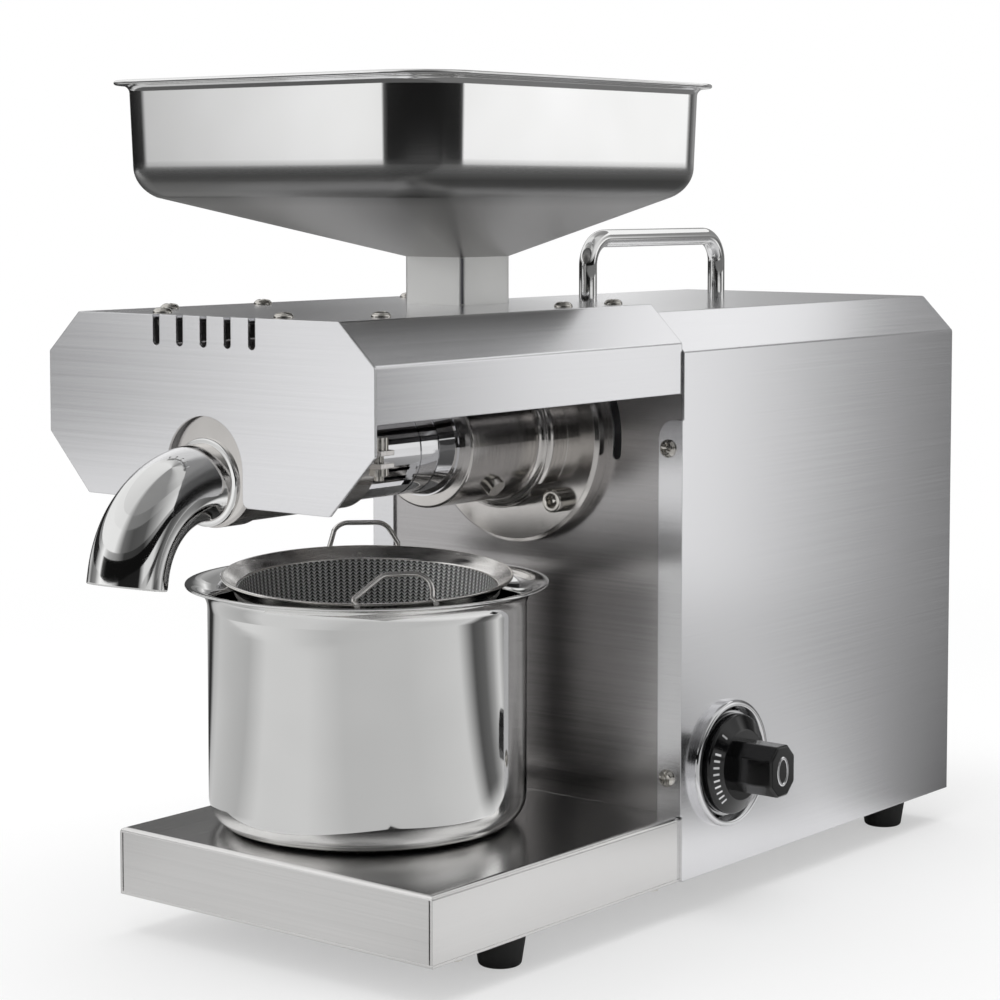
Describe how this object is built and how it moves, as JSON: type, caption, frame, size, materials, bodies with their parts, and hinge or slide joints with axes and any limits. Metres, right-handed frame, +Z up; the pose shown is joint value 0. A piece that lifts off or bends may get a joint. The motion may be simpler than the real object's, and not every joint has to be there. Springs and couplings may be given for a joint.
{
  "type": "screw oil press",
  "caption": "Table-top screw oil press with a stainless body, a top hopper, a heated barrel with a curved cake outlet, an oil pot with a strainer and a side heat dial.",
  "frame": {"origin": "on the standing plane, below the middle of the base", "axes": "+Z up, -Y towards the cake outlet, +X towards the heat dial; the press screw runs along Y"},
  "size_m": [0.2029, 0.4729, 0.347],
  "materials": {
    "brushed_stainless": "brushed stainless sheet",
    "satin_stainless": "fine satin stainless sheet",
    "polished_stainless": "mirror polished stainless",
    "bead_blasted_stainless": "matt stainless",
    "turned_steel": "turned steel",
    "bright_chrome": "chrome plate",
    "nickel_screws": "nickel plated steel",
    "alloy_steel": "ground alloy steel",
    "woven_stainless": "woven stainless wire",
    "strainer_steel": "polished stainless",
    "cast_aluminium": "as cast",
    "painted_can": "black enamel",
    "black_rubber": "moulded rubber",
    "black_phenolic": "moulded, glossy",
    "black_nylon": "moulded, matt",
    "red_rocker": "moulded, glossy",
    "ceramic": "fired ceramic",
    "stem_steel": "plated steel",
    "board_laminate": "glass epoxy board",
    "brass_standoff": "plain brass"
  },
  "bodies": {
    "frame": {"base_tray": "brushed_stainless", "bottom_plate": "brushed_stainless", "rubber_feet": "black_rubber", "foot_screws": "nickel_screws", "bottom_screws": "nickel_screws", "front_panel": "brushed_stainless", "housing_cover": "satin_stainless", "cover_screws": "nickel_screws", "rear_panel": "brushed_stainless", "carry_handle": "polished_stainless", "handle_screws": "nickel_screws", "head_cover": "satin_stainless", "head_frame": "brushed_stainless", "head_cover_screws": "nickel_screws", "barrel_holder": "turned_steel", "flange_bolts": "nickel_screws", "barrel_lock_bolt": "nickel_screws", "shaft_seal": "black_rubber", "press_barrel": "bright_chrome", "heater_band": "turned_steel", "heater_clamp_bolt": "nickel_screws", "heater_terminals": "ceramic", "outlet_collar": "turned_steel", "feed_chute": "bead_blasted_stainless", "knob_bezel": "bright_chrome", "thermostat_body": "black_nylon", "gearbox_housing": "cast_aluminium", "gearbox_cover": "cast_aluminium", "gearbox_screws": "nickel_screws", "bearings": "alloy_steel", "motor_stator": "alloy_steel", "motor_can": "painted_can", "motor_bells": "cast_aluminium", "motor_screws": "nickel_screws", "motor_cradle": "brushed_stainless", "cradle_screws": "nickel_screws", "control_board": "board_laminate", "board_standoffs": "brass_standoff", "power_inlet": "black_nylon", "inlet_screws": "nickel_screws", "switch_frames": "black_nylon", "fuse_holder": "black_nylon"},
    "press_drive": {"press_screw": "alloy_steel", "output_gear": "alloy_steel", "output_shaft": "alloy_steel"},
    "layshaft": {"lay_gear": "alloy_steel", "lay_shaft": "alloy_steel"},
    "motor_rotor": {"motor_shaft": "alloy_steel", "motor_fan": "black_nylon"},
    "outlet": {"outlet_elbow": "polished_stainless"},
    "hopper_body": {"hopper": "polished_stainless", "hopper_neck": "bead_blasted_stainless"},
    "pot": {"oil_pot": "polished_stainless"},
    "strainer": {"strainer_frame": "strainer_steel", "strainer_mesh": "woven_stainless", "strainer_handles": "strainer_steel"},
    "dial": {"dial_knob": "black_phenolic", "thermostat_stem": "stem_steel"},
    "power_switch": {"power_rocker": "red_rocker"},
    "direction_switch": {"direction_rocker": "black_nylon"}
  },
  "joints": [
    {"name": "motor_spin", "type": "hinge", "parent": "frame", "child": "motor_rotor", "pos_m": [0, 0, 0.11], "axis": [0, 1, 0], "continuous": true},
    {"name": "lay_spin", "type": "hinge", "parent": "frame", "child": "layshaft", "pos_m": [0, 0, 0.148], "axis": [0, 1, 0], "continuous": true},
    {"name": "screw_spin", "type": "hinge", "parent": "frame", "child": "press_drive", "pos_m": [0, 0, 0.199], "axis": [0, 1, 0], "continuous": true},
    {"name": "outlet_swivel", "type": "hinge", "parent": "frame", "child": "outlet", "pos_m": [0, -0.221, 0.194], "axis": [0, 1, 0], "range_deg": [-90, 90]},
    {"name": "hopper_lift", "type": "slide", "parent": "frame", "child": "hopper_body", "axis": [0, 0, 1], "range_m": [0, 0.08]},
    {"name": "pot_slide", "type": "slide", "parent": "frame", "child": "pot", "axis": [1, 0, 0], "range_m": [0, 0.18]},
    {"name": "strainer_lift", "type": "slide", "parent": "pot", "child": "strainer", "axis": [0, 0, 1], "range_m": [0, 0.018]},
    {"name": "dial_turn", "type": "hinge", "parent": "frame", "child": "dial", "pos_m": [0.09, 0.001, 0.0608], "axis": [1, 0, 0], "range_deg": [0, 270]},
    {"name": "power_press", "type": "hinge", "parent": "frame", "child": "power_switch", "pos_m": [-0.022, 0.1868, 0.122], "axis": [1, 0, 0], "range_deg": [0, 16]},
    {"name": "direction_press", "type": "hinge", "parent": "frame", "child": "direction_switch", "pos_m": [0.022, 0.1868, 0.122], "axis": [1, 0, 0], "range_deg": [-8, 8]}
  ],
  "couplings": [
    {"joint": "lay_spin", "follows": "motor_spin", "ratio": -0.1875},
    {"joint": "screw_spin", "follows": "motor_spin", "ratio": 0.040179}
  ]
}
